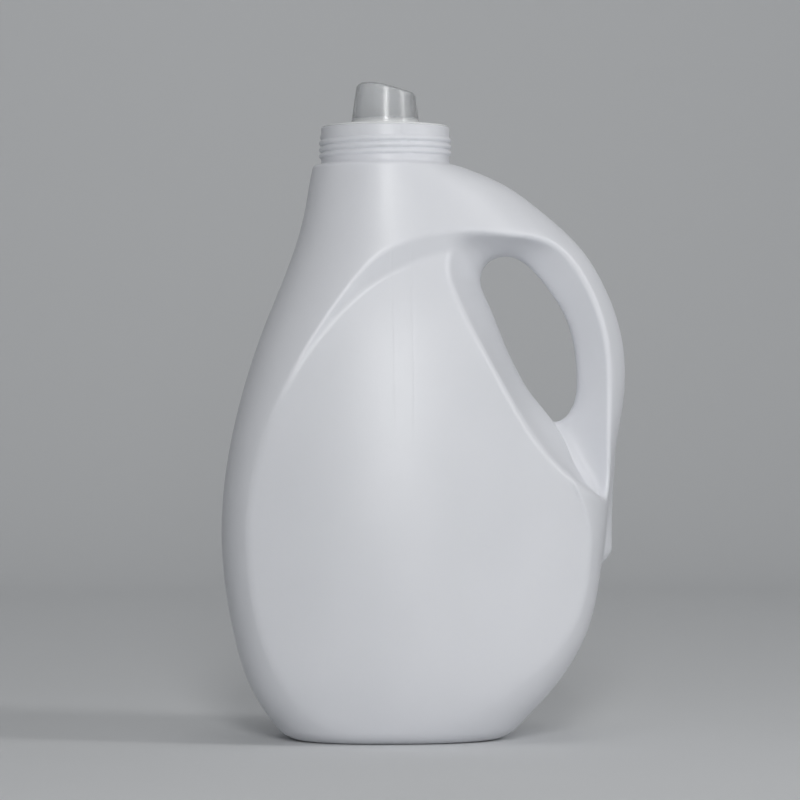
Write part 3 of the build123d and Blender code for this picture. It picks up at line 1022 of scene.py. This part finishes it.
@dataclass(frozen=True)
class ClearPolypropylene:
    """See-through natural polypropylene, milky where it is thick at the plug and the flange."""

    tint: tuple[float, float, float] = (0.93, 0.94, 0.95)
    roughness: float = 0.26
    refraction: float = 1.45
    clearness: float = 0.80
    milky: float = 0.15
    clear_from: float = 0.2756
    clear_at: float = 0.2790
    grain: float = 0.12
    lines: float = 0.25
    bump: float = 0.2

    def material(self, skin: bpy.types.ShaderNodeTree) -> bpy.types.Material:
        """Builds the node material over the shared moulded skin, clearer above the flange."""
        material, shader = new_material("clear_polypropylene")
        nodes, links = material.node_tree.nodes, material.node_tree.links
        skinned(material, shader, skin, {"Grain": self.grain, "Lines": self.lines}, self.bump)
        set_inputs(
            shader, {"Base Color": (*self.tint, 1), "Roughness": self.roughness, "IOR": self.refraction}
        )
        where = nodes.new("ShaderNodeTexCoord")
        split = nodes.new("ShaderNodeSeparateXYZ")
        height = nodes.new("ShaderNodeMapRange")
        height.interpolation_type = "SMOOTHSTEP"
        set_inputs(height, {"From Min": self.clear_from, "From Max": self.clear_at})
        set_inputs(height, {"To Min": self.milky, "To Max": self.clearness})
        links.new(where.outputs["Object"], split.inputs["Vector"])
        links.new(split.outputs["Z"], height.inputs["Value"])
        links.new(height.outputs["Result"], shader.inputs["Transmission Weight"])
        return material


@dataclass(frozen=True)
class Lamp:
    """One rectangular light: where it is, its width and height, its watts and what it is aimed at."""

    name: str
    place: tuple[float, float, float]
    size: tuple[float, float]
    power: float
    target: tuple[float, float, float] = CENTRE

    def build(self) -> None:
        """Puts the light into the scene."""
        light = bpy.data.lights.new(self.name, "AREA")
        light.shape = "RECTANGLE"
        light.size, light.size_y = self.size
        light.energy = self.power
        obj = bpy.data.objects.new(self.name, light)
        obj.location = self.place
        aim = Vector(self.target) - Vector(self.place)
        obj.rotation_euler = aim.to_track_quat("-Z", "Y").to_euler()
        bpy.context.collection.objects.link(obj)


# A tall strip by the camera, one light from each side, one from above and one on the backdrop.
LAMPS = (
    Lamp("strip", (-0.08, -1.75, 0.70), (0.26, 0.9), 15.5),
    Lamp("grip_side", (1.35, -0.65, 0.85), (0.35, 0.8), 6.4),
    Lamp("pour_side", (-1.6, -0.1, 0.6), (0.5, 1.0), 0.8),
    Lamp("above", (0.1, -0.3, 1.6), (0.6, 0.6), 2.2),
    Lamp("backdrop", (0.0, 0.75, 1.7), (2.0, 0.3), 5.5, target=(0.0, 1.8, 0.55)),
)


@dataclass
class Studio:
    """Pale floor, soft lights and a level long-lens camera at the photograph's angle."""

    centre: tuple[float, float, float] = CENTRE
    distance: float = 1.571
    yaw: float = math.radians(5.0)
    field_of_view: float = math.radians(13.07)
    floor_tone: tuple[float, float, float] = (0.68, 0.69, 0.70)
    sky_tone: tuple[float, float, float] = (0.9, 0.95, 1.0)
    sky_strength: float = 0.10

    def build(self) -> None:
        """Makes everything that isn't part of the object."""
        self.floor()
        self.world()
        for lamp in LAMPS:
            lamp.build()
        self.camera()

    def floor(self) -> None:
        """Flat floor that sweeps up behind: a profile of a line, an arc and a line, carried along X."""
        span, front, back, bend, rise = 2.4, -3.0, 1.2, 0.6, 2.2
        turn = np.linspace(0, math.pi / 2, 24)
        y = np.concatenate([[front, back], back + bend * np.sin(turn[1:]), [back + bend]])
        z = np.concatenate([[0.0, 0.0], bend * (1 - np.cos(turn[1:])), [rise]])
        across = np.array([-span, span])
        points = np.stack([np.tile(across, len(y)), np.repeat(y, 2), np.repeat(z, 2)], axis=1)
        i = np.arange(len(y) - 1) * 2
        faces = np.stack([i, i + 1, i + 3, i + 2], axis=1)
        mesh = bpy.data.meshes.new("floor")
        mesh.from_pydata(points.tolist(), [], faces.tolist())
        mesh.polygons.foreach_set("use_smooth", np.ones(len(faces), bool))
        material, shader = new_material("floor_paper")
        set_inputs(shader, {"Base Color": (*self.floor_tone, 1), "Roughness": 0.9})
        mesh.materials.append(material)
        floor = bpy.data.objects.new("floor", mesh)
        bpy.context.collection.objects.link(floor)

    def world(self) -> None:
        """Even soft light from all round."""
        world = bpy.data.worlds.new("studio")
        world.use_nodes = True
        sky = {"Color": (*self.sky_tone, 1), "Strength": self.sky_strength}
        set_inputs(world.node_tree.nodes["Background"], sky)
        bpy.context.scene.world = world

    def camera(self) -> None:
        """Level camera, turned by the yaw towards the pour side."""
        lens = bpy.data.cameras.new("camera")
        lens.sensor_width = 36.0
        lens.lens = lens.sensor_width / 2 / math.tan(self.field_of_view / 2)
        lens.clip_start, lens.clip_end = 0.05, 20.0
        camera = bpy.data.objects.new("camera", lens)
        x, y, z = self.centre
        camera.location = (x - self.distance * math.sin(self.yaw), y - self.distance * math.cos(self.yaw), z)
        camera.rotation_euler = (math.pi / 2, 0, -self.yaw)
        bpy.context.collection.objects.link(camera)
        bpy.context.scene.camera = camera


def main() -> None:
    """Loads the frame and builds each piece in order."""
    logging.basicConfig(level=logging.INFO, format="%(name)s %(message)s")
    bpy.context.scene.view_settings.view_transform = "Standard"
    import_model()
    skin = MouldedSkin().group()

    bottle = build_object("bottle_shell", BottleBody().shell(), NaturalPolyethylene().material(skin))
    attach(bottle, "root")
    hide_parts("bottle")
    LOG.info("bottle_shell: %d triangles", len(bottle.data.polygons))

    spout = build_object("pour_spout_clear", PourSpout().surface(), ClearPolypropylene().material(skin))
    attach(spout, "root")
    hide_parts("pour_spout")
    LOG.info("pour_spout_clear: %d triangles", len(spout.data.polygons))

    Studio().build()


if __name__ == "__main__":
    main()
